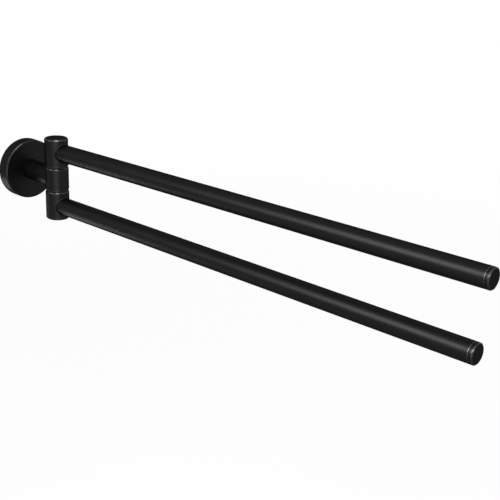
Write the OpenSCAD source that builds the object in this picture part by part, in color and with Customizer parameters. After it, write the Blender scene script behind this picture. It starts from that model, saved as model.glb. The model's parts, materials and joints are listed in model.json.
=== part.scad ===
// Swivel towel holder with two arms, for screwing to a wall.
// The origin is the centre of the flange's back, on the wall. +Y points into the wall, so the arms
// reach towards -Y, and +Z is up. Lengths are millimetres and angles are degrees.

/* [Flange] */
// Diameter of the round flange cover
flange_d = 51.5; // [48:0.5:70]
// How far the flange cover stands off the wall
flange_depth = 11.2; // [10:0.1:16]
// Thickness of the cover's rim
flange_wall = 2.5; // [2:0.1:3.5]
// Thickness of the cover's front face
flange_face = 2.6; // [2:0.1:3.5]
// Chamfer round the cover's front edge
flange_chamfer = 0.8; // [0.4:0.1:1.5]
// Thread diameter of the grub screw under the rim
grub_d = 4; // [3:0.5:4.5]

/* [Wall plate] */
// Thickness of the wall plate
plate_t = 6; // [5:0.5:7]
// Radial clearance between the wall plate and the cover's rim
plate_gap = 0.4; // [0.2:0.1:0.8]
// Distance between the two wall screw holes
screw_spacing = 28; // [26:1:31]
// Diameter of the wall screw holes
screw_hole_d = 4.8; // [4:0.1:5.4]
// Diameter of the countersinks for the wall screws
screw_sink_d = 9; // [8:0.1:10]

/* [Neck] */
// Diameter of the neck
neck_d = 17.4; // [14:0.1:18]
// Distance from the wall to the column's axis
axis_from_wall = 48.5; // [40:0.5:80]
// Thread diameter of the bolt through the neck
bolt_d = 6; // [5:1:8]
// Diameter of the bolt's head
bolt_head_d = 10; // [9:0.5:12]
// Height of the bolt's head
bolt_head_h = 3.4; // [3:0.1:4]
// Thickness of the split washer under the bolt's head
lock_washer_t = 1; // [0.6:0.1:1.6]

/* [Column] */
// Diameter of the hub and of both barrels
column_d = 20; // [19.5:0.5:26]
// Height of the fixed hub
hub_h = 20; // [19.4:0.1:30]
// Height of each turning barrel
barrel_h = 24.6; // [23.5:0.1:32]
// Chamfer on the edges that face a swivel joint
joint_chamfer = 0.8; // [0.4:0.1:1.2]
// Chamfer round the column's top and bottom
end_chamfer = 1; // [0.5:0.1:1.2]
// Thickness of the friction washer in each joint
friction_washer_t = 0.6; // [0.4:0.1:1.2]
// Diameter of the friction washers
friction_washer_d = 17; // [13:0.5:18]

/* [Pivot] */
// Diameter of the pivot pin
pin_d = 8; // [7:0.5:9]
// Thread diameter at the pin's ends
pin_thread_d = 6; // [5:0.5:6.5]
// Wall thickness of the bushes
bush_wall = 1.5; // [1:0.1:2]
// Thickness of the flange on each bush
bush_flange_t = 0.8; // [0.6:0.1:1.2]
// Radial running clearance between a bush and the pin
bush_fit = 0.05; // [0.02:0.01:0.1]
// Height of the conical spring washers
spring_h = 0.9; // [0.7:0.1:1.2]
// Thickness of the conical spring washers
spring_t = 0.5; // [0.3:0.1:0.6]
// Size across the flats of the lock nuts
nut_flats = 10; // [9:0.5:11]
// Height of the lock nuts
nut_h = 3.2; // [2.5:0.1:3.6]
// Thickness of the discs that close the column
column_cap_t = 1.5; // [1:0.1:1.8]

/* [Arms] */
// Distance from the column's axis to the end of each arm
arm_reach = 411.5; // [200:0.5:600]
// Distance from a barrel's joint face to its arm's axis
arm_from_joint = 12.7; // [8.8:0.1:13.6]
// Outside diameter of the arm tubes
tube_d = 15; // [13:0.5:16]
// Wall thickness of the arm tubes
tube_wall = 1; // [0.8:0.1:1.5]
// Chamfer round the open end of each tube
tube_chamfer = 0.5; // [0.3:0.1:0.7]
// Thread diameter of the spigot's nose
nose_d = 6; // [5:0.5:7]
// Length of the spigot inside the tube
spigot_l = 30; // [15:1:60]
// Visible length of the end caps
end_cap_head = 2.7; // [2:0.1:12]
// Length of the end cap's plug inside the tube
end_cap_plug = 10; // [6:1:30]
// Chamfer round the end cap's face
end_cap_chamfer = 0.6; // [0.3:0.1:1.5]
// Swing of the upper arm from square to the wall, towards +X
upper_arm_angle = 3; // [-90:0.1:90]
// Swing of the lower arm from square to the wall, towards +X
lower_arm_angle = 1.7; // [-90:0.1:90]

/* [Hidden] */

// Colours and roundness
COAT = "#242425";
ZINC = "#b5b8ba";
STEEL = "#8f9296";
BRASS = "#c8a24a";
PLASTIC = "#d9d6cb";
BLACK_PLASTIC = "#18181a";
FINE = 96;
HEX = 6;

// Clearances: cuts run past their solids, threads and pressed pieces lie close, bolts lie easy
past = 1;
thread_gap = 0.05;
press_gap = 0.02;
seam_gap = 0.05;
bolt_gap = 0.3;
room = 0.4;

// Edges of small pieces: eased with a chamfer, or left nearly sharp
eased = 0.5;
sharp = 0.1;

// Flange and wall plate
flange_r = flange_d / 2;
cavity_r = flange_r - flange_wall;
cavity_h = flange_depth - flange_face;
plate_r = cavity_r - plate_gap;
groove_z = plate_t / 2;
groove_depth = 1.2;
groove_side_gap = 0.1;
groove_half = grub_d / 2 + groove_side_gap;
grub_sink = 0.4;
grub_rim_gap = 0.15;
grub_tip_gap = 0.1;
grub_body = flange_wall + plate_gap - grub_sink - grub_rim_gap;
grub_cone = groove_depth + grub_rim_gap - grub_tip_gap;
grub_key = grub_d / 2;
grub_key_depth = 1.5;

// Bolt through the neck
bolt_hole_r = bolt_d / 2 + bolt_gap;
bolt_head_z = cavity_h - lock_washer_t - bolt_head_h;
bolt_tip = axis_from_wall - pin_d / 2 - room;
bolt_key = 4;
bolt_key_depth = 2.2;
pocket_margin = 2;
pocket_floor_gap = 1.2;
washer_margin = 0.4;
washer_slit = 1.2;
washer_slit_angle = 20;

// Heights in the column, measured up from the middle of the hub
column_r = column_d / 2;
pin_r = pin_d / 2;
thread_r = pin_thread_d / 2;
barrel_z = hub_h / 2 + friction_washer_t;
column_top = barrel_z + barrel_h;
column_cap_z = column_top - column_cap_t;
pin_top = column_cap_z - room;
pin_tip = 0.5;
nut_z = pin_top - pin_tip - nut_h;
spring_z = nut_z - spring_h;
chamber_z = spring_z - bush_flange_t;
pin_shoulder = spring_z - bush_flange_t / 2;

// Radii in the column
chamber_wall = 2;
cap_ledge = 0.5;
cap_skirt = 1;
spring_margin = 1.2;
bush_r = pin_r + bush_fit + bush_wall;
chamber_r = column_r - chamber_wall;
column_cap_r = chamber_r + cap_ledge;

// Arms
tube_r = tube_d / 2;
tube_bore_r = tube_r - tube_wall;
tube_end = arm_reach - end_cap_head;
arm_rise = barrel_z + arm_from_joint;
spigot_gap = 0.2;
spigot_start = column_r + spigot_gap;
nose_tip = bush_r + spigot_gap;
cap_back_chamfer = 0.3;
driver_flats = 5;
driver_depth = 6;

// Ring or disc that stands on z = 0, with both outer edges chamfered
module ring(r, h, low, high, bore = 0) {
    rotate_extrude($fn = FINE)
        polygon([[bore, 0], [r - low, 0], [r, low], [r, h - high], [r - high, h], [bore, h]]);
}

// Washer, bush or plain tube that stands on z = 0
module sleeve(r, bore, h) {
    difference() {
        cylinder(r = r, h = h, $fn = FINE);
        translate([0, 0, -past]) cylinder(r = bore, h = h + 2 * past, $fn = FINE);
    }
}

// Hexagonal prism that stands on z = 0, for nuts and key sockets
module hexagon(flats, h) {
    cylinder(d = flats / cos(180 / HEX), h = h, $fn = HEX);
}

// Turns a piece drawn along +Z so that it reaches from the wall towards -Y
module from_wall() {
    rotate([90, 0, 0]) children();
}

// Carries a piece drawn round the Z axis to the column
module on_column() {
    translate([0, -axis_from_wall, 0]) children();
}

// Turns an upper piece with its arm, or mirrors it below the hub first
module swung(up, swing) {
    on_column() rotate([0, 0, swing]) {
        if (up) children();
        else mirror([0, 0, 1]) children();
    }
}

// Lays a piece drawn along +Z on the axis of an arm
module along_arm() {
    translate([0, 0, arm_rise]) rotate([90, 0, 0]) children();
}

// Disc for the wall: V groove round the rim, countersunk holes, pocket for the bolt's head
module wall_plate() {
    groove_floor = groove_half - groove_depth;
    color(ZINC) from_wall() difference() {
        rotate_extrude($fn = FINE) polygon([
            [0, 0], [plate_r, 0], [plate_r, groove_z - groove_half],
            [plate_r - groove_depth, groove_z - groove_floor],
            [plate_r - groove_depth, groove_z + groove_floor],
            [plate_r, groove_z + groove_half], [plate_r, plate_t], [0, plate_t]
        ]);
        translate([0, 0, bolt_head_z - pocket_floor_gap])
            cylinder(r = bolt_head_d / 2 + pocket_margin, h = plate_t, $fn = FINE);
        for (side = [-1, 1]) translate([0, side * screw_spacing / 2, 0]) {
            translate([0, 0, -past]) cylinder(d = screw_hole_d, h = plate_t + 2 * past, $fn = FINE);
            wall_screw_sink();
        }
    }
}

// Cone that takes a wall screw's head, flush with the plate's front
module wall_screw_sink() {
    sink = (screw_sink_d - screw_hole_d) / 2;
    translate([0, 0, plate_t - sink])
        cylinder(d1 = screw_hole_d, d2 = screw_sink_d + 2 * past, h = sink + past, $fn = FINE);
}

// Round cup over the wall plate
module flange_cover() {
    color(COAT) from_wall() difference() {
        rotate_extrude($fn = FINE) polygon([
            [cavity_r, 0], [flange_r, 0], [flange_r, flange_depth - flange_chamfer],
            [flange_r - flange_chamfer, flange_depth], [bolt_hole_r, flange_depth],
            [bolt_hole_r, cavity_h], [cavity_r, cavity_h]
        ]);
        under_rim() translate([0, 0, -past])
            cylinder(r = grub_d / 2 + thread_gap, h = grub_sink + flange_wall + past, $fn = FINE);
    }
}

// Carries a piece drawn along +Z to the rim's underside, pointing up into the plate's groove
module under_rim() {
    translate([0, -flange_r + grub_sink, groove_z]) rotate([-90, 0, 0]) children();
}

// Set screw with a cone point and a hexagon socket
module flange_grub_screw() {
    tip = grub_d / 2 - grub_cone;
    color(STEEL) from_wall() under_rim() difference() {
        rotate_extrude($fn = FINE) polygon([
            [0, 0], [grub_d / 2, 0], [grub_d / 2, grub_body], [tip, grub_body + grub_cone],
            [0, grub_body + grub_cone]
        ]);
        translate([0, 0, -past]) hexagon(grub_key, past + grub_key_depth);
    }
}

// Turned tube between the cover and the hub, its far end coped round the hub
module neck() {
    color(COAT) from_wall() difference() {
        translate([0, 0, flange_depth])
            sleeve(neck_d / 2, bolt_hole_r, axis_from_wall - flange_depth);
        translate([0, 0, axis_from_wall]) rotate([90, 0, 0])
            cylinder(r = column_r + seam_gap, h = neck_d + 2 * past, center = true, $fn = FINE);
    }
}

// Socket screw that holds cover, neck and hub together
module neck_bolt() {
    color(STEEL) from_wall() difference() {
        union() {
            translate([0, 0, bolt_head_z]) ring(bolt_head_d / 2, bolt_head_h, eased, sharp);
            translate([0, 0, bolt_head_z]) cylinder(d = bolt_d, h = bolt_tip - bolt_head_z, $fn = FINE);
        }
        translate([0, 0, bolt_head_z - past]) hexagon(bolt_key, past + bolt_key_depth);
    }
}

// Split spring washer between the bolt's head and the inside of the cover
module neck_lock_washer() {
    color(STEEL) from_wall() translate([0, 0, cavity_h - lock_washer_t]) difference() {
        sleeve(bolt_head_d / 2 + washer_margin, bolt_hole_r, lock_washer_t);
        translate([bolt_head_d / 2, 0, lock_washer_t / 2]) rotate([washer_slit_angle, 0, 0])
            cube([bolt_head_d, washer_slit, 3 * lock_washer_t], center = true);
    }
}

// Fixed middle length of the column, bored for the pin and tapped for the neck's bolt
module hub() {
    color(COAT) on_column() difference() {
        translate([0, 0, -hub_h / 2])
            ring(column_r, hub_h, joint_chamfer, joint_chamfer, pin_r + press_gap);
        rotate([-90, 0, 0]) cylinder(r = bolt_d / 2 + thread_gap, h = column_r + past, $fn = FINE);
    }
}

// Pin through the whole column, threaded at both ends
module pivot_pin() {
    color(STEEL) on_column() rotate_extrude($fn = FINE) polygon([
        [0, -pin_top], [thread_r - pin_tip, -pin_top], [thread_r, -pin_top + pin_tip],
        [thread_r, -pin_shoulder], [pin_r, -pin_shoulder], [pin_r, pin_shoulder],
        [thread_r, pin_shoulder], [thread_r, pin_top - pin_tip], [thread_r - pin_tip, pin_top],
        [0, pin_top]
    ]);
}

// Plastic washer that sets the gap between the hub and a barrel
module friction_washer() {
    color(BLACK_PLASTIC) translate([0, 0, hub_h / 2])
        sleeve(friction_washer_d / 2, pin_r + bolt_gap, friction_washer_t);
}

// Conical washer that presses a bush against its barrel
module spring_washer() {
    spring_bore = thread_r + bolt_gap;
    spring_rim = nut_flats / 2 + spring_margin;
    color(STEEL) translate([0, 0, spring_z]) rotate_extrude($fn = FINE) polygon([
        [spring_bore, spring_h - spring_t], [spring_rim, 0], [spring_rim, spring_t],
        [spring_bore, spring_h]
    ]);
}

// Thin hexagon nut with chamfered corners
module lock_nut() {
    corner_r = nut_flats / 2 / cos(180 / HEX);
    color(STEEL) translate([0, 0, nut_z]) difference() {
        intersection() {
            hexagon(nut_flats, nut_h);
            ring(corner_r, nut_h, eased, eased);
        }
        translate([0, 0, -past]) cylinder(r = thread_r + thread_gap, h = nut_h + 2 * past, $fn = FINE);
    }
}

// Turning length of the column, open at its outer end for the nut and the cap
module barrel() {
    color(COAT) difference() {
        translate([0, 0, barrel_z])
            ring(column_r, barrel_h, joint_chamfer, end_chamfer, bush_r + press_gap);
        translate([0, 0, chamber_z]) cylinder(r = chamber_r, h = barrel_h, $fn = FINE);
        translate([0, 0, column_cap_z]) cylinder(r = column_cap_r + seam_gap, h = barrel_h, $fn = FINE);
        along_arm() cylinder(r = nose_d / 2 + thread_gap, h = column_r + past, $fn = FINE);
    }
}

// Plastic bush, its flange on the floor of the barrel's chamber
module bush() {
    bush_end = barrel_z + seam_gap;
    color(PLASTIC) rotate_extrude($fn = FINE) polygon([
        [pin_r + bush_fit, bush_end], [bush_r, bush_end], [bush_r, chamber_z],
        [chamber_r - room, chamber_z], [chamber_r - room, spring_z], [pin_r + bush_fit, spring_z]
    ]);
}

// Disc with a skirt that closes the end of the column
module column_cap() {
    color(COAT) rotate_extrude($fn = FINE) polygon([
        [0, column_cap_z], [chamber_r - press_gap - cap_skirt, column_cap_z],
        [chamber_r - press_gap - cap_skirt, column_cap_z - cap_skirt],
        [chamber_r - press_gap, column_cap_z - cap_skirt], [chamber_r - press_gap, column_cap_z],
        [column_cap_r, column_cap_z], [column_cap_r, column_top], [0, column_top]
    ]);
}

// Plug with a threaded nose in the barrel and a round body inside the tube
module arm_spigot() {
    color(BRASS) along_arm() difference() {
        union() {
            translate([0, 0, spigot_start])
                ring(tube_bore_r - press_gap, spigot_l, eased, 2 * eased);
            translate([0, 0, nose_tip]) cylinder(d = nose_d, h = spigot_start + past - nose_tip, $fn = FINE);
        }
        translate([0, 0, spigot_start + spigot_l - driver_depth]) hexagon(driver_flats, driver_depth + past);
    }
}

// Arm tube, coped round the barrel and chamfered at its open end
module arm_tube() {
    color(COAT) difference() {
        along_arm() rotate_extrude($fn = FINE) polygon([
            [tube_bore_r, 0], [tube_r, 0], [tube_r, tube_end - tube_chamfer],
            [tube_r - tube_chamfer, tube_end], [tube_bore_r, tube_end]
        ]);
        translate([0, 0, arm_rise])
            cylinder(r = column_r + seam_gap, h = tube_d + 2 * past, center = true, $fn = FINE);
    }
}

// Plug with a round head that closes the arm
module end_cap() {
    color(COAT) along_arm() union() {
        translate([0, 0, tube_end]) ring(tube_r, end_cap_head, cap_back_chamfer, end_cap_chamfer);
        translate([0, 0, tube_end - end_cap_plug])
            ring(tube_bore_r - press_gap, end_cap_plug + past, eased, sharp);
    }
}

wall_plate();
flange_cover();
flange_grub_screw();
neck();
neck_bolt();
neck_lock_washer();
hub();
pivot_pin();
swung(true, 0) friction_washer();  // upper_friction_washer
swung(false, 0) friction_washer();  // lower_friction_washer
swung(true, 0) spring_washer();  // upper_spring_washer
swung(false, 0) spring_washer();  // lower_spring_washer
swung(true, 0) lock_nut();  // upper_lock_nut
swung(false, 0) lock_nut();  // lower_lock_nut
swung(true, upper_arm_angle) barrel();  // upper_barrel
swung(true, upper_arm_angle) bush();  // upper_bush
swung(true, upper_arm_angle) column_cap();  // top_cap
swung(true, upper_arm_angle) arm_spigot();  // upper_arm_spigot
swung(true, upper_arm_angle) arm_tube();  // upper_arm_tube
swung(true, upper_arm_angle) end_cap();  // upper_end_cap
swung(false, lower_arm_angle) barrel();  // lower_barrel
swung(false, lower_arm_angle) bush();  // lower_bush
swung(false, lower_arm_angle) column_cap();  // bottom_cap
swung(false, lower_arm_angle) arm_spigot();  // lower_arm_spigot
swung(false, lower_arm_angle) arm_tube();  // lower_arm_tube
swung(false, lower_arm_angle) end_cap();  // lower_end_cap
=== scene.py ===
import json
import math
from collections import namedtuple

import bmesh
import bpy
from mathutils import Matrix, Vector


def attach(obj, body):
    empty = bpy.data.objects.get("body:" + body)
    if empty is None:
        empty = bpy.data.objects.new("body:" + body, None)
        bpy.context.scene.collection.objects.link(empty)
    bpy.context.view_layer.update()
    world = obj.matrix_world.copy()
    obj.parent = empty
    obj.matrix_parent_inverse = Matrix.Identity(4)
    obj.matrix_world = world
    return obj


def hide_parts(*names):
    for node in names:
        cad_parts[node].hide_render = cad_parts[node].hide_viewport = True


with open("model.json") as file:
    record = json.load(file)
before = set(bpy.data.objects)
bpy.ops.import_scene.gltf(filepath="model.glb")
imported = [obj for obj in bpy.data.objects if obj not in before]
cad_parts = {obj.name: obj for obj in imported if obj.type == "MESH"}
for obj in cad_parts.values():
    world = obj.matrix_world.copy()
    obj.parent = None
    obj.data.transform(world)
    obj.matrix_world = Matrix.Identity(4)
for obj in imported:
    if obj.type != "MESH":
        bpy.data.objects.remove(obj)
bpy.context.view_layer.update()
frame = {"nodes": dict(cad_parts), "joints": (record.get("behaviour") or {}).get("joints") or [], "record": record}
nodes = frame["nodes"]

MM = 0.001
scene = bpy.context.scene


def direction(azimuth, elevation):
    """The way out from the object at an azimuth, where 0 is -Y and 90 is +X, and an elevation."""
    a, e = math.radians(azimuth), math.radians(elevation)
    return Vector((math.sin(a) * math.cos(e), -math.cos(a) * math.cos(e), math.sin(e)))


def reach(node, way, start=(0, 0, 0)):
    """How far a node goes from a point in one direction, in millimetres to a hundredth."""
    way, start = Vector(way), Vector(start)
    far = max((vertex.co - start).dot(way) for vertex in nodes[node].data.vertices)
    return round(far / MM, 2)


# Hinges: lengths in millimetres, HINGE in metres, and the angles by which the arms are swung at rest
PARALLEL_TO_WALL = 90
hinges = {joint["child"]: joint for joint in frame["joints"]}
_, hinge_y, hinge_z = hinges["upper_arm"]["pos_m"]
AXIS_FROM_WALL, ARM_RISE = round(-hinge_y / MM, 2), round(hinge_z / MM, 2)
HINGE = Vector((0, hinge_y, 0))
ARM_ANGLES = {side: round(PARALLEL_TO_WALL - hinges[f"{side}_arm"]["range_deg"][1], 2)
              for side in ("upper", "lower")}

# Sizes in millimetres, from the frame
RIGHT, FRONT, UP, DOWN = (1, 0, 0), (0, -1, 0), (0, 0, 1), (0, 0, -1)
ALONG_ARM = direction(ARM_ANGLES["upper"], 0)
FLANGE_R, FLANGE_DEPTH = reach("flange_cover", RIGHT), reach("flange_cover", FRONT)
NECK_R, PIN_R = reach("neck", RIGHT), reach("pivot_pin", RIGHT)
COLUMN_R, HUB_HALF = reach("hub", RIGHT), reach("hub", UP)
BARREL_Z, BARREL_TOP = -reach("upper_barrel", DOWN), reach("upper_barrel", UP)
TUBE_R = round(reach("upper_end_cap", UP) - ARM_RISE, 2)
TUBE_END = reach("upper_arm_tube", ALONG_ARM, start=HINGE)
ARM_REACH = reach("upper_end_cap", ALONG_ARM, start=HINGE)

# Walls, bores, chamfers and gaps in millimetres, as in the part's source
FLANGE_WALL, FLANGE_FACE, FLANGE_CHAMFER = 2.5, 2.6, 0.8
BOLT_HOLE_R, THREAD_R, GRUB_R, GRUB_Y = 3.3, 3.05, 2.05, 3.0
JOINT_CHAMFER, END_CHAMFER = 0.8, 1.0
CHAMBER_R, CHAMBER_Z, BUSH_R = 8.0, 27.9, 5.55
CAP_R, CAP_T, CAP_SKIRT, SEAM, PRESS = 8.5, 1.5, 1.0, 0.05, 0.02
TUBE_BORE_R, TUBE_CHAMFER = 6.5, 0.5
CAP_PLUG, PLUG_CHAMFER, CAP_CHAMFER, CAP_BACK_CHAMFER = 10.0, 0.5, 0.6, 0.3

# Edges, fillets and their depth in the column, in millimetres, and the share of the lighter edge colour, a painted
# highlight, on the cover's edges
EASE, FINE_EASE, WEAR_AND_HIGHLIGHT_WIDTH = 0.2, 0.08, 0.45
ARM_FILLET, NECK_FILLET = 1.0, 0.5
ARM_SINK, NECK_SINK = 0.3, 0.25
COVER_WEAR_AND_HIGHLIGHT = 0.35

# Steps round a full turn, a hole, an edge, the neck's foot and a fillet
AROUND, AROUND_HOLE, EDGE_STEPS, FOOT_STEPS, FILLET_STEPS = 96, 24, 4, 3, 6

# How near two lengths are to count as one, and the band of wall above and below a hole, in millimetres
CLOSE, HOLE_BAND = 1e-4, 0.7


# Outlines and meshes
def rounded(corners, closed=True, steps=EDGE_STEPS):
    """An outline whose (x, y, radius) corners are rounded, with the solid on its left.

    Each point comes with its outward normal and its edge mark, 1 on rounded outer edges, which the coat draws
    lighter: a painted highlight, with a little rubbing.
    """
    made = []
    count = len(corners)
    for i, (x, y, radius) in enumerate(corners):
        here = Vector((x, y))
        if not closed and i in (0, count - 1):
            there = Vector(corners[1 if i == 0 else count - 2][:2])
            along = (there - here) if i == 0 else (here - there)
            made.append((here, Vector((along.y, -along.x)).normalized(), 0.0))
            continue
        back = (Vector(corners[i - 1][:2]) - here).normalized()
        ahead = (Vector(corners[(i + 1) % count][:2]) - here).normalized()
        half = back.angle(ahead) / 2
        middle = here + (back + ahead).normalized() * radius / math.sin(half)
        start, end = here + back * radius / math.tan(half), here + ahead * radius / math.tan(half)
        bulges = back.x * ahead.y - back.y * ahead.x < 0
        a = math.atan2(*(start - middle).yx)
        turn = (math.atan2(*(end - middle).yx) - a + math.pi) % (2 * math.pi) - math.pi
        for k in range(steps + 1):
            at = a + turn * k / steps
            out = Vector((math.cos(at), math.sin(at)))
            edge_wear_and_highlight = 1.0 if bulges and radius >= EASE else 0.0
            made.append((middle + out * radius, out if bulges else -out, edge_wear_and_highlight))
    return made


def spaced(outline, closed=True):
    """Adds unmarked points beside the ends of long straight lengths, so that the edge mark, a painted highlight,
    stays at the edges.
    """
    made = []
    for i, (point, normal, edge_wear_and_highlight) in enumerate(outline):
        made.append((point, normal, edge_wear_and_highlight))
        after, after_normal, _ = outline[(i + 1) % len(outline)]
        gap = after - point
        if gap.length > 3 * WEAR_AND_HIGHLIGHT_WIDTH and (closed or i + 1 < len(outline)):
            step = gap.normalized() * WEAR_AND_HIGHLIGHT_WIDTH
            made += [(point + step, normal, 0.0), (after - step, after_normal, 0.0)]
    return made


Hole = namedtuple("Hole", "radius height quarter outer inner")


def banded(outline, hole):
    """Adds points above and below a hole, where the wall that it goes through is straight."""
    made = []
    for i, (point, normal, edge_wear_and_highlight) in enumerate(outline):
        made.append((point, normal, edge_wear_and_highlight))
        after = outline[(i + 1) % len(outline)][0]
        on_wall = min(abs(point.x - hole.outer), abs(point.x - hole.inner)) < CLOSE
        if on_wall and abs(after.x - point.x) < CLOSE:
            low, high = sorted((point.y, after.y))
            heights = [hole.height - hole.radius - HOLE_BAND, hole.height + hole.radius + HOLE_BAND]
            heights = sorted((h for h in heights if low < h < high), reverse=after.y < point.y)
            made += [(Vector((point.x, h)), normal, 0.0) for h in heights]
    return made


def angles(count=AROUND):
    """The angles of evenly spaced points round a circle."""
    return [2 * math.pi * k / count for k in range(count)]


def round_ring(point, normal, edge_wear_and_highlight):
    """The ring that an outline's point makes about the Z axis, or just the point if it is on it."""
    if point.x < CLOSE:
        return [(Vector((0, 0, point.y)), Vector((0, 0, normal.y)), edge_wear_and_highlight)]
    ring = []
    for a in angles():
        c, s = math.cos(a), math.sin(a)
        ring.append((Vector((point.x * c, point.x * s, point.y)),
                     Vector((normal.x * c, normal.x * s, normal.y)), edge_wear_and_highlight))
    return ring


def skin(name, rings, place, closed, alter=None):
    """A piece through rings of (point, normal, edge mark), each of AROUND points or of one on the axis.

    A change, where one is given, alters the mesh and adds its own points' records to the list.
    """
    bm = bmesh.new()
    records, made = [], []
    for ring in rings:
        made.append([bm.verts.new(record[0]) for record in ring])
        records += ring
    pairs = list(zip(made, made[1:] + made[:1])) if closed else list(zip(made, made[1:]))
    for low, high in pairs:
        for j in range(AROUND):
            k = (j + 1) % AROUND
            corners = [low[j % len(low)], low[k % len(low)], high[k % len(high)], high[j % len(high)]]
            bm.faces.new(list(dict.fromkeys(corners)))
    if alter:
        alter(bm, made, records)
    bmesh.ops.recalc_face_normals(bm, faces=bm.faces)
    mesh = bpy.data.meshes.new(name)
    bm.to_mesh(mesh)
    bm.free()
    mesh.transform(Matrix.Scale(MM, 4) @ place)
    for polygon in mesh.polygons:
        polygon.use_smooth = True
    turn = place.to_3x3()
    normals = [(turn @ normal).normalized() for _, normal, _ in records]
    mesh.normals_split_custom_set_from_vertices(normals)
    # The edge mark, which the coat turns into lighter edges: a painted highlight, with a little rubbing.
    lighter_edge_mask = mesh.attributes.new("edge_wear_and_highlight", "FLOAT", "POINT")
    for entry, (_, _, edge_wear_and_highlight) in zip(lighter_edge_mask.data, records):
        entry.value = edge_wear_and_highlight
    obj = bpy.data.objects.new(name, mesh)
    scene.collection.objects.link(obj)
    return obj


def lathe(name, outline, place, closed=True, hole=None):
    """Turns a rounded outline of (radius, height) about the Z axis, and cuts a hole if one is given."""
    outline = spaced(outline, closed)
    if hole:
        outline = banded(outline, hole)
    rings = [round_ring(*entry) for entry in outline]
    return skin(name, rings, place, closed, side_hole(hole) if hole else None)


def saddle_rings(bar_r, column_r, distance, fillet, sink, steps=FILLET_STEPS):
    """Rings where a round bar along +Z meets a column, with a fillet between them.

    The bar leaves the column's axis, or reaches it at the distance if one is given. The column's axis
    is along the bar's Y axis. The rings run from the bar's surface to just inside the column.
    """
    rings = [[] for _ in range(steps + 2)]
    from_bar, from_column = bar_r + fillet, column_r + fillet
    for a in angles():
        bar = Vector((math.cos(a), math.sin(a), 0))
        centre = Vector((from_bar * bar.x, from_bar * bar.y, 0))
        centre.z = math.sqrt(from_column ** 2 - centre.x ** 2)
        column = Vector((centre.x, 0, centre.z)) / from_column
        spread = bar.angle(column)
        for k in range(steps + 1):
            t = k / steps
            out = (math.sin((1 - t) * spread) * bar + math.sin(t * spread) * column) / math.sin(spread)
            point = centre - out * fillet
            point.z = distance - point.z if distance else point.z
            normal = Vector((out.x, out.y, -out.z if distance else out.z))
            rings[k].append((point, normal, 0.0))
        deep = point.copy()
        deep.z += sink if distance else -sink
        rings[steps + 1].append((deep, normal, 0.0))
    return rings


def bore_saddle(bore, column_r, distance, sink):
    """Ring of a bar's bore just inside the column that the bar leaves or reaches."""
    ring = []
    for a in angles():
        x, y = bore * math.cos(a), bore * math.sin(a)
        z = math.sqrt((column_r - sink) ** 2 - x * x)
        ring.append((Vector((x, y, distance - z if distance else z)),
                     Vector((-math.cos(a), -math.sin(a), 0)), 0.0))
    return ring


def stitch(bm, outer, inner):
    """Triangles between two loops of (angle, vertex) that turn the same way, each in rising order."""
    i = j = 0
    while i < len(outer) or j < len(inner):
        next_i, next_j = (i + 1) % len(outer), (j + 1) % len(inner)
        outer_angle = outer[next_i][0] + (2 * math.pi if next_i <= i else 0)
        inner_angle = inner[next_j][0] + (2 * math.pi if next_j <= j else 0)
        here, there = outer[i % len(outer)][1], inner[j % len(inner)][1]
        if j >= len(inner) or (i < len(outer) and outer_angle <= inner_angle):
            bm.faces.new((here, outer[next_i][1], there))
            i += 1
        else:
            bm.faces.new((here, inner[next_j][1], there))
            j += 1


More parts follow.
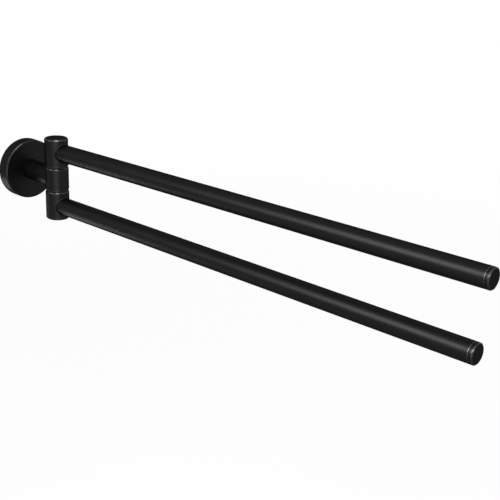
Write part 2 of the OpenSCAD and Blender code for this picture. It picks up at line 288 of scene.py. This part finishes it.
def side_hole(hole):
    """A change for skin() that cuts a round hole with eased edges through a turned wall.

    The hole's axis is at right angles to the lathe's, at 1 or 3 quarter turns from its X axis.
    """
    axis = Vector((0, 1 if hole.quarter == 1 else -1, 0))
    across = Vector((-axis.y, 0, 0))

    def open_wall(bm, made, radius):
        """Takes away the faces round the hole, and gives the opening's corners by angle about it."""
        half = 1 + math.ceil(AROUND * math.asin((hole.radius + FINE_EASE) / radius) / (2 * math.pi))
        columns = [AROUND * hole.quarter // 4 + k for k in range(-half, half + 1)]
        rings = [ring for ring in made if abs(ring[0].co.x - radius) < CLOSE]
        below = [ring for ring in rings if ring[0].co.z < hole.height - hole.radius]
        above = [ring for ring in rings if ring[0].co.z > hole.height + hole.radius]
        low = max(below, key=lambda ring: ring[0].co.z)
        high = min(above, key=lambda ring: ring[0].co.z)
        opening = [ring[c] for ring in (low, high) for c in columns]
        gone = [f for f in bm.faces if all(v in opening for v in f.verts)]
        bmesh.ops.delete(bm, geom=gone, context="FACES")
        turned = []
        for vertex in opening:
            angle = math.atan2(vertex.co.z - hole.height, vertex.co.dot(across)) % (2 * math.pi)
            turned.append((angle, vertex))
        return sorted(turned, key=lambda entry: entry[0])

    def rim(bm, records, radius, facing):
        """The hole's edge on one side of the wall: loops from the wall's face to the hole's side."""
        loops = []
        for lean in (1, math.cos(math.pi / 4), 0):
            loop_r = hole.radius + FINE_EASE * (1 - math.sqrt(1 - lean ** 2))
            loop = []
            for t in angles(AROUND_HOLE):
                u, rise = loop_r * math.cos(t), loop_r * math.sin(t)
                depth = math.sqrt(radius ** 2 - u ** 2)
                out = (across * u + axis * depth).normalized() * facing
                inward = -across * math.cos(t) - Vector((0, 0, math.sin(t)))
                place = across * u + axis * (depth - facing * FINE_EASE * (1 - lean))
                loop.append((t, bm.verts.new(place + Vector((0, 0, hole.height + rise)))))
                records.append((None, out * lean + inward * math.sqrt(1 - lean ** 2), 0.0))
            loops.append(loop)
        return loops

    def cut(bm, made, records):
        """Opens the wall on both sides, and joins the openings through the hole."""
        outside, inside = open_wall(bm, made, hole.outer), open_wall(bm, made, hole.inner)
        outer_rim, inner_rim = rim(bm, records, hole.outer, 1), rim(bm, records, hole.inner, -1)
        stitch(bm, outside, outer_rim[0])
        stitch(bm, inside, inner_rim[0])
        loops = outer_rim + inner_rim[::-1]
        for one, two in zip(loops, loops[1:]):
            for k in range(AROUND_HOLE):
                n = (k + 1) % AROUND_HOLE
                bm.faces.new((one[k][1], one[n][1], two[n][1], two[k][1]))

    return cut


# Places in millimetres: FROM_WALL turns a piece that is made along Z to point away from the wall
FROM_WALL = Matrix.Rotation(math.radians(90), 4, "X")
COLUMN = Matrix.Translation((0, -AXIS_FROM_WALL, 0))


def swung(side):
    """The column's place, turned as far as one arm is swung at rest."""
    return COLUMN @ Matrix.Rotation(math.radians(ARM_ANGLES[side]), 4, "Z")


def barrel_place(side):
    """The place of a barrel, the lower one upside down."""
    flip = Matrix.Identity(4) if side == "upper" else Matrix.Rotation(math.pi, 4, "X")
    return swung(side) @ flip


def arm_place(side):
    """The place of an arm, which leaves the column's axis."""
    rise = ARM_RISE if side == "upper" else -ARM_RISE
    return swung(side) @ Matrix.Translation((0, 0, rise)) @ FROM_WALL


# Pieces that stand for the coated nodes
def flange_cover():
    """Round cup with the grub screw's hole under its rim."""
    cavity_r, cavity_h = FLANGE_R - FLANGE_WALL, FLANGE_DEPTH - FLANGE_FACE
    outline = rounded([
        (cavity_r, 0, FINE_EASE), (FLANGE_R, 0, EASE), (FLANGE_R, FLANGE_DEPTH - FLANGE_CHAMFER, EASE),
        (FLANGE_R - FLANGE_CHAMFER, FLANGE_DEPTH, EASE), (BOLT_HOLE_R, FLANGE_DEPTH, FINE_EASE),
        (BOLT_HOLE_R, cavity_h, FINE_EASE), (cavity_r, cavity_h, EASE)])
    # The cover's edges get a smaller share of the painted edge highlight.
    outline = [(point, normal, edge_wear_and_highlight * COVER_WEAR_AND_HIGHLIGHT) for point, normal, edge_wear_and_highlight in outline]
    grub_hole = Hole(GRUB_R, GRUB_Y, quarter=3, outer=FLANGE_R, inner=cavity_r)
    return lathe("flange_cover_shell", outline, FROM_WALL, hole=grub_hole)


def hub():
    """Fixed middle length of the column, with the neck bolt's hole in its back."""
    bore = PIN_R + PRESS
    outline = rounded([
        (bore, -HUB_HALF, FINE_EASE), (COLUMN_R - JOINT_CHAMFER, -HUB_HALF, EASE),
        (COLUMN_R, -HUB_HALF + JOINT_CHAMFER, EASE), (COLUMN_R, HUB_HALF - JOINT_CHAMFER, EASE),
        (COLUMN_R - JOINT_CHAMFER, HUB_HALF, EASE), (bore, HUB_HALF, FINE_EASE)])
    bolt_hole = Hole(THREAD_R, height=0, quarter=1, outer=COLUMN_R, inner=bore)
    return lathe("hub_shell", outline, COLUMN, hole=bolt_hole)


def barrel(side):
    """Turning length of the column, with the arm's hole in its side and a seat for the cap."""
    bore, seat, ledge = BUSH_R + PRESS, CAP_R + SEAM, BARREL_TOP - CAP_T
    outline = rounded([
        (bore, BARREL_Z, FINE_EASE), (COLUMN_R - JOINT_CHAMFER, BARREL_Z, EASE),
        (COLUMN_R, BARREL_Z + JOINT_CHAMFER, EASE), (COLUMN_R, BARREL_TOP - END_CHAMFER, EASE),
        (COLUMN_R - END_CHAMFER, BARREL_TOP, EASE), (seat, BARREL_TOP, FINE_EASE),
        (seat, ledge, FINE_EASE), (CHAMBER_R, ledge, FINE_EASE),
        (CHAMBER_R, CHAMBER_Z, FINE_EASE), (bore, CHAMBER_Z, FINE_EASE)])
    towards_arm = 3 if side == "upper" else 1
    arm_hole = Hole(THREAD_R, ARM_RISE, towards_arm, outer=COLUMN_R, inner=bore)
    return lathe(f"{side}_barrel_shell", outline, barrel_place(side), hole=arm_hole)


def column_cap(side):
    """Disc with a skirt that closes an end of the column."""
    skirt, back = CHAMBER_R - PRESS, BARREL_TOP - CAP_T
    outline = rounded([
        (0, back, 0), (skirt - CAP_SKIRT, back, FINE_EASE),
        (skirt - CAP_SKIRT, back - CAP_SKIRT, FINE_EASE), (skirt, back - CAP_SKIRT, FINE_EASE),
        (skirt, back, FINE_EASE), (CAP_R, back, FINE_EASE),
        (CAP_R, BARREL_TOP, FINE_EASE), (0, BARREL_TOP, 0)], closed=False)
    return lathe(f"{side}_column_cap", outline, barrel_place(side), closed=False)


def neck():
    """Tube from the cover to the hub, which it meets with a fillet."""
    outline = rounded([
        (BOLT_HOLE_R, FLANGE_DEPTH, FINE_EASE), (NECK_R, FLANGE_DEPTH, FINE_EASE),
        (NECK_R, AXIS_FROM_WALL, EASE), (BOLT_HOLE_R, AXIS_FROM_WALL, EASE)], steps=FOOT_STEPS)
    foot = outline[:2 * (FOOT_STEPS + 1)]
    rings = [round_ring(*entry) for entry in foot]
    rings += saddle_rings(NECK_R, COLUMN_R, AXIS_FROM_WALL, NECK_FILLET, NECK_SINK)
    rings.append(bore_saddle(BOLT_HOLE_R, COLUMN_R, AXIS_FROM_WALL, NECK_SINK))
    return skin("neck_shell", rings, FROM_WALL, closed=True)


def arm_tube(side):
    """Tube from the barrel, which it leaves with a fillet, to the end cap."""
    rings = saddle_rings(TUBE_R, COLUMN_R, 0, ARM_FILLET, ARM_SINK)
    rings.reverse()
    half_way = TUBE_END / 2
    outline = rounded([
        (TUBE_R, half_way, EASE), (TUBE_R, TUBE_END - TUBE_CHAMFER, EASE),
        (TUBE_R - TUBE_CHAMFER, TUBE_END, FINE_EASE), (TUBE_BORE_R, TUBE_END, FINE_EASE),
        (TUBE_BORE_R, half_way, EASE)])
    open_end = outline[EDGE_STEPS + 1:4 * (EDGE_STEPS + 1)]
    middle = (Vector((TUBE_R, half_way)), Vector((1, 0)), 0.0)
    rings += [round_ring(*entry) for entry in spaced([middle] + open_end, closed=False)]
    rings.append(bore_saddle(TUBE_BORE_R, COLUMN_R, 0, ARM_SINK))
    return skin(f"{side}_arm_tube_shell", rings, arm_place(side), closed=True)


def end_cap(side):
    """Plug in the arm's end with a short chamfered head."""
    plug, plug_end = TUBE_BORE_R - PRESS, TUBE_END - CAP_PLUG
    outline = rounded([
        (0, plug_end, 0), (plug - PLUG_CHAMFER, plug_end, EASE),
        (plug, plug_end + PLUG_CHAMFER, EASE), (plug, TUBE_END, FINE_EASE),
        (TUBE_R - CAP_BACK_CHAMFER, TUBE_END, FINE_EASE),
        (TUBE_R, TUBE_END + CAP_BACK_CHAMFER, FINE_EASE), (TUBE_R, ARM_REACH - CAP_CHAMFER, EASE),
        (TUBE_R - CAP_CHAMFER, ARM_REACH, EASE), (0, ARM_REACH, 0)], closed=False)
    return lathe(f"{side}_end_cap_shell", outline, arm_place(side), closed=False)


# Materials
class Graph:
    """The node tree of a material or world, with short ways to add and join nodes."""

    def __init__(self, owner, output="ShaderNodeOutputMaterial"):
        self.owner = owner
        owner.use_nodes = True
        self.tree = owner.node_tree
        self.tree.nodes.clear()
        self.out = self.add(output)

    def add(self, kind, inputs=None, **fields):
        node = self.tree.nodes.new(kind)
        for key, value in fields.items():
            setattr(node, key, value)
        for key, value in (inputs or {}).items():
            self.put(value, node.inputs[key])
        return node

    def put(self, value, socket):
        if isinstance(value, bpy.types.Node):
            value = value.outputs[0]
        if isinstance(value, bpy.types.NodeSocket):
            self.tree.links.new(value, socket)
        else:
            socket.default_value = value

    def show(self, shader):
        self.put(shader, self.out.inputs["Surface"])

    def where(self, space="Object"):
        return self.add("ShaderNodeTexCoord").outputs[space]

    def math(self, operation, a, b):
        return self.add("ShaderNodeMath", {0: a, 1: b}, operation=operation)

    def noise(self, where, scale, detail=3.0, roughness=0.5):
        return self.add("ShaderNodeTexNoise", {"Vector": where, "Scale": scale, "Detail": detail,
                                               "Roughness": roughness})

    def remap(self, value, low, high, to_low, to_high):
        return self.add("ShaderNodeMapRange", {"Value": value, "From Min": low, "From Max": high,
                                               "To Min": to_low, "To Max": to_high})

    def ramp(self, value, stops):
        """A colour ramp, its stops given as (place, colour)."""
        node = self.add("ShaderNodeValToRGB", {"Fac": value})
        elements = node.color_ramp.elements
        while len(elements) < len(stops):
            elements.new(0.5)
        for element, (at, colour) in zip(elements, stops):
            element.position = at
            element.color = (*colour, 1)
        return node

    def levels(self, value, stops):
        """A ramp of greys, its stops given as (place, level)."""
        return self.ramp(value, [(at, (level, level, level)) for at, level in stops])

    def mix(self, factor, a, b):
        node = self.add("ShaderNodeMix", {"Factor": factor}, data_type="RGBA")
        self.put(a, node.inputs["A"])
        self.put(b, node.inputs["B"])
        return node.outputs["Result"]

    def bump(self, height, strength, depth, normal):
        return self.add("ShaderNodeBump", {"Strength": strength, "Distance": depth, "Height": height,
                                           "Normal": normal})

    def edges(self, radius):
        """The eased normal near edges, and the nearness of an edge, from 0 to 1."""
        eased = self.add("ShaderNodeBevel", {"Radius": radius}, samples=6).outputs["Normal"]
        flat = self.add("ShaderNodeNewGeometry").outputs["True Normal"]
        along = self.add("ShaderNodeVectorMath", {0: eased, 1: flat}, operation="DOT_PRODUCT")
        return eased, self.remap(along.outputs["Value"], 1.0, 0.8, 0.0, 1.0)


# Most of a noise texture's values lie between these two
NOISE_SPAN = (0.3, 0.7)

# The coat: linear colours, noise scales per metre, bump depths in metres, roughness, gloss by facing
COAT_DARK, COAT_LIGHT = (0.0019, 0.0018, 0.0019), (0.0029, 0.0028, 0.0028)
# The lighter colour of the marked edges: a painted highlight of chamfers that face the lamps, with a little
# rubbing.
COAT_WEAR_AND_HIGHLIGHT = (0.006, 0.006, 0.0062)
GRAIN_SCALE, PEEL_SCALE, CLOUD_SCALE, RUB_SCALE = 2600, 700, 45, 260
GRAIN_DEPTH, PEEL_DEPTH = 0.00002, 0.00003
COAT_ROUGH, COAT_ROUGHEST, GRAIN_ROUGH, WORN_SMOOTH = 0.35, 0.39, 0.03, 0.2
COAT_SHINE = [(0, 0.175), (0.25, 0.08), (0.5, 0.0145), (0.625, 0.0035), (0.75, 0.0009), (0.9, 0.0002)]
# How much of the painted edge highlight stays on edges that face down, since the light falls from above.
WORN_SHINE, WEAR_AND_HIGHLIGHT_BELOW = 5.2, 0.15


def coat():
    """Near-black satin powder coat, its edges smoother and glossier, and lighter in colour where they face up: a
    painted highlight, with a little rubbing.
    """
    g = Graph(bpy.data.materials.new("matte_black_coat"))
    where = g.where()
    grain = g.noise(where, GRAIN_SCALE, detail=2.0, roughness=0.6)
    peel = g.noise(where, PEEL_SCALE, detail=2.0)
    cloud = g.noise(where, CLOUD_SCALE)
    rub = g.noise(where, RUB_SCALE, roughness=0.6)
    tint = g.ramp(g.remap(cloud, *NOISE_SPAN, 0, 1), [(0, COAT_DARK), (1, COAT_LIGHT)])
    edge = g.add("ShaderNodeAttribute", attribute_name="edge_wear_and_highlight").outputs["Fac"]
    normal = g.add("ShaderNodeNewGeometry").outputs["Normal"]
    upward = g.add("ShaderNodeSeparateXYZ", {0: normal}).outputs["Z"]
    # Edges lighter where they face up and dimmer where they face down: a painted highlight of light from above,
    # broken up by noise.
    upward_wear_and_highlight = g.math("MULTIPLY", edge, g.remap(upward, -0.5, 0.5, WEAR_AND_HIGHLIGHT_BELOW, 1.0))
    lighter_edge_mask = g.math("MULTIPLY", upward_wear_and_highlight, g.remap(rub, 0.3, 0.6, 0.5, 1.0))
    grain_rough = g.remap(grain, *NOISE_SPAN, -GRAIN_ROUGH, GRAIN_ROUGH)
    cloud_rough = g.remap(cloud, *NOISE_SPAN, COAT_ROUGH, COAT_ROUGHEST)
    base_rough = g.math("ADD", grain_rough, cloud_rough)
    rough = g.math("SUBTRACT", base_rough, g.math("MULTIPLY", lighter_edge_mask, WORN_SMOOTH))
    facing = g.add("ShaderNodeLayerWeight", {"Blend": 0.5}).outputs["Facing"]
    shine = g.math("MULTIPLY", g.levels(facing, COAT_SHINE), g.remap(lighter_edge_mask, 0, 1, 1, WORN_SHINE))
    fine = g.add("ShaderNodeBump", {"Strength": 0.25, "Distance": GRAIN_DEPTH, "Height": grain})
    # The base colour is lighter on the marked edges: a painted highlight.
    g.show(g.add("ShaderNodeBsdfPrincipled", {
        "Base Color": g.mix(lighter_edge_mask, tint, (*COAT_WEAR_AND_HIGHLIGHT, 1)), "Roughness": rough,
        "Specular IOR Level": shine, "Normal": g.bump(peel, 0.3, PEEL_DEPTH, fine)}))
    return g.owner


# Bare pieces: noise scales per metre, the edges' width in metres, and how roughness varies
PATCH_SCALE, SCUFF_SCALE, BARE_EDGE = 420, 800, 0.0003
BARE_GRAIN_ROUGH, BARE_PATCH_ROUGH, BARE_WORN_SMOOTH = 0.05, 0.06, 0.1


def bare(name, dark, light, edge_colour, rough, grain_scale, bump_depth, metallic=1.0):
    """An uncoated metal or plastic, with grain, patches and edges that are smoothed and lightened by use."""
    g = Graph(bpy.data.materials.new(name))
    where = g.where()
    grain = g.noise(where, grain_scale, detail=4.0, roughness=0.6)
    patch = g.noise(where, PATCH_SCALE, detail=4.0, roughness=0.6)
    scuff = g.noise(where, SCUFF_SCALE)
    eased, edge = g.edges(BARE_EDGE)
    lighter_edge_mask = g.math("MULTIPLY", edge, g.remap(scuff, 0.35, 0.65, 0.3, 1.0))
    tint = g.ramp(g.remap(patch, 0.25, 0.75, 0, 1), [(0, dark), (1, light)])
    grain_rough = g.remap(grain, *NOISE_SPAN, -BARE_GRAIN_ROUGH, BARE_GRAIN_ROUGH)
    patch_rough = g.remap(patch, *NOISE_SPAN, rough, rough + BARE_PATCH_ROUGH)
    base_rough = g.math("ADD", grain_rough, patch_rough)
    g.show(g.add("ShaderNodeBsdfPrincipled", {
        "Base Color": g.mix(lighter_edge_mask, tint, (*edge_colour, 1)), "Metallic": metallic,
        "Roughness": g.math("SUBTRACT", base_rough, g.math("MULTIPLY", lighter_edge_mask, BARE_WORN_SMOOTH)),
        "Normal": g.bump(grain, 0.4, bump_depth, eased)}))
    return g.owner


MATERIALS = {
    "black_coat": coat(),
    "cast_zinc": bare("die_cast_zinc", (0.36, 0.37, 0.38), (0.46, 0.47, 0.48), (0.6, 0.61, 0.62),
                      rough=0.4, grain_scale=1500, bump_depth=0.00005),
    "plated_steel": bare("bright_zinc_plate", (0.5, 0.51, 0.53), (0.6, 0.61, 0.62), (0.7, 0.7, 0.71),
                         rough=0.25, grain_scale=3000, bump_depth=0.00001),
    "black_steel": bare("black_oxide_steel", (0.03, 0.03, 0.032), (0.05, 0.05, 0.052),
                        (0.16, 0.16, 0.17), rough=0.36, grain_scale=3000, bump_depth=0.00001),
    "brass": bare("turned_brass", (0.6, 0.42, 0.16), (0.74, 0.54, 0.23), (0.85, 0.68, 0.36),
                  rough=0.26, grain_scale=3000, bump_depth=0.00001),
    "white_plastic": bare("moulded_acetal", (0.68, 0.67, 0.63), (0.77, 0.76, 0.72), (0.82, 0.81, 0.78),
                          rough=0.38, grain_scale=1800, bump_depth=0.00002, metallic=0.0),
    "black_plastic": bare("moulded_nylon", (0.014, 0.014, 0.016), (0.024, 0.024, 0.026),
                          (0.05, 0.05, 0.052), rough=0.46, grain_scale=1800, bump_depth=0.00002,
                          metallic=0.0),
}
SLOTS = {entry["node"]: entry["material_slot"] for entry in frame["record"]["subparts"]}


def dress(obj, slot):
    obj.data.materials.clear()
    obj.data.materials.append(MATERIALS[slot])


def stand_for(piece, body, node):
    """Dresses a piece, and shows it in a node's place."""
    dress(piece, SLOTS[node])
    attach(piece, body)
    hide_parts(node)


for name, obj in nodes.items():
    dress(obj, SLOTS[name])

stand_for(flange_cover(), "wall_mount", "flange_cover")
stand_for(neck(), "wall_mount", "neck")
stand_for(hub(), "wall_mount", "hub")
for side, cap in (("upper", "top_cap"), ("lower", "bottom_cap")):
    body = f"{side}_arm"
    stand_for(barrel(side), body, f"{side}_barrel")
    stand_for(column_cap(side), body, cap)
    stand_for(arm_tube(side), body, f"{side}_arm_tube")
    stand_for(end_cap(side), body, f"{side}_end_cap")


# Camera at the photograph's place: degrees, metres from the hinges, and the focal length in pixels
CAMERA_AZIMUTH, CAMERA_ELEVATION, CAMERA_ROLL, CAMERA_DISTANCE = -35.38, 15.5, 2.28, 0.87854
LOOK_AT = Vector((0, -0.22956, -0.00277))
FOCAL_PX, PHOTO_PX, SENSOR_MM = 1006.54, 500, 36


def make_camera():
    place = HINGE + direction(CAMERA_AZIMUTH, CAMERA_ELEVATION) * CAMERA_DISTANCE
    ahead = (HINGE + LOOK_AT - place).normalized()
    right = ahead.cross(Vector(UP)).normalized()
    up = right.cross(ahead)
    c, s = math.cos(math.radians(CAMERA_ROLL)), math.sin(math.radians(CAMERA_ROLL))
    data = bpy.data.cameras.new("camera")
    data.sensor_width = SENSOR_MM
    data.lens = FOCAL_PX * SENSOR_MM / PHOTO_PX
    camera = bpy.data.objects.new("camera", data)
    axes = Matrix((right * c + up * s, up * c - right * s, -ahead)).transposed()
    camera.matrix_world = Matrix.Translation(place) @ axes.to_4x4()
    scene.collection.objects.link(camera)
    scene.camera = camera


make_camera()


# Floor and world, in metres: between the near radius and the far one the floor turns fully white
WHITE, FLOOR_COLOUR = (1, 1, 1, 1), (0.8, 0.8, 0.8, 1)
FLOOR_Z, FLOOR_R, NEAR_R, FAR_R, NEAR_WHITE = -0.45, 30, 0.5, 2.0, 0.94
WORLD_LEVELS = [(0.0, 1.0), (0.02, 1.0), (0.16, 0.12), (1.0, 0.1)]


def seen_ray(g):
    """1 for the rays that show the white background: camera, glossy and transmission rays."""
    path = g.add("ShaderNodeLightPath")
    seen = path.outputs["Is Camera Ray"]
    for name in ("Is Glossy Ray", "Is Transmission Ray"):
        seen = g.math("MAXIMUM", seen, path.outputs[name])
    return seen


def make_floor():
    """A pale floor that shows white, and keeps the object's shadow near it."""
    bm = bmesh.new()
    bmesh.ops.create_circle(bm, cap_ends=True, segments=AROUND, radius=FLOOR_R)
    mesh = bpy.data.meshes.new("floor")
    bm.to_mesh(mesh)
    bm.free()
    floor = bpy.data.objects.new("floor", mesh)
    floor.location.z = FLOOR_Z
    scene.collection.objects.link(floor)
    g = Graph(bpy.data.materials.new("floor_white"))
    diffuse = g.add("ShaderNodeBsdfDiffuse", {"Color": FLOOR_COLOUR})
    white = g.add("ShaderNodeEmission", {"Color": WHITE, "Strength": 1.0})
    away = g.add("ShaderNodeVectorMath", {0: g.where()}, operation="LENGTH").outputs["Value"]
    share = g.math("MULTIPLY", seen_ray(g), g.remap(away, NEAR_R, FAR_R, NEAR_WHITE, 1.0))
    g.show(g.add("ShaderNodeMixShader", {0: share, 1: diffuse, 2: white}))
    mesh.materials.append(g.owner)


def make_world():
    """A world that shows white, and gives light that is strong at the horizon and weak above it."""
    g = Graph(bpy.data.worlds.new("studio"), "ShaderNodeOutputWorld")
    height = g.add("ShaderNodeSeparateXYZ", {0: g.where("Generated")}).outputs["Z"]
    shown = g.mix(seen_ray(g), g.levels(height, WORLD_LEVELS), WHITE)
    g.show(g.add("ShaderNodeBackground", {"Color": shown}))
    scene.world = g.owner


make_floor()
make_world()


# Lamps, all soft: the azimuth and elevation that each shines from, its size in metres and its watts
def softbox(name, place, aim, width, height, watts):
    data = bpy.data.lights.new(name, "AREA")
    data.shape = "RECTANGLE"
    data.size, data.size_y = width, height
    data.energy = watts
    lamp = bpy.data.objects.new(name, data)
    lamp.location = place
    lamp.rotation_mode = "QUATERNION"
    lamp.rotation_quaternion = (Vector(aim) - Vector(place)).to_track_quat("-Z", "Y")
    lamp.visible_camera = False
    scene.collection.objects.link(lamp)


MIDDLE, LAMP_DISTANCE = Vector((0, -0.25, 0)), 1.3
BELOW_FLANGE = Vector((-0.06, 0.33, -0.26))
SOFTBOXES = (
    ("key_softbox", 248, 32, 0.6, 0.8, 19.5), ("front_softbox", 20, 8, 0.5, 0.5, 4),
    ("right_softbox", 80, 12, 0.5, 0.5, 5), ("top_softbox", 322, 72, 0.6, 0.6, 9),
    ("left_softbox", 342, 22, 0.4, 0.4, 4), ("low_left_softbox", 312, -12, 1.0, 0.3, 4))
for name, azimuth, elevation, width, height, watts in SOFTBOXES:
    from_side = MIDDLE + direction(azimuth, elevation) * LAMP_DISTANCE
    softbox(name, from_side, MIDDLE, width, height, watts)
softbox("low_flange_softbox", HINGE + BELOW_FLANGE, HINGE, width=0.2, height=0.2, watts=1.6)

scene.view_settings.view_transform = "Standard"
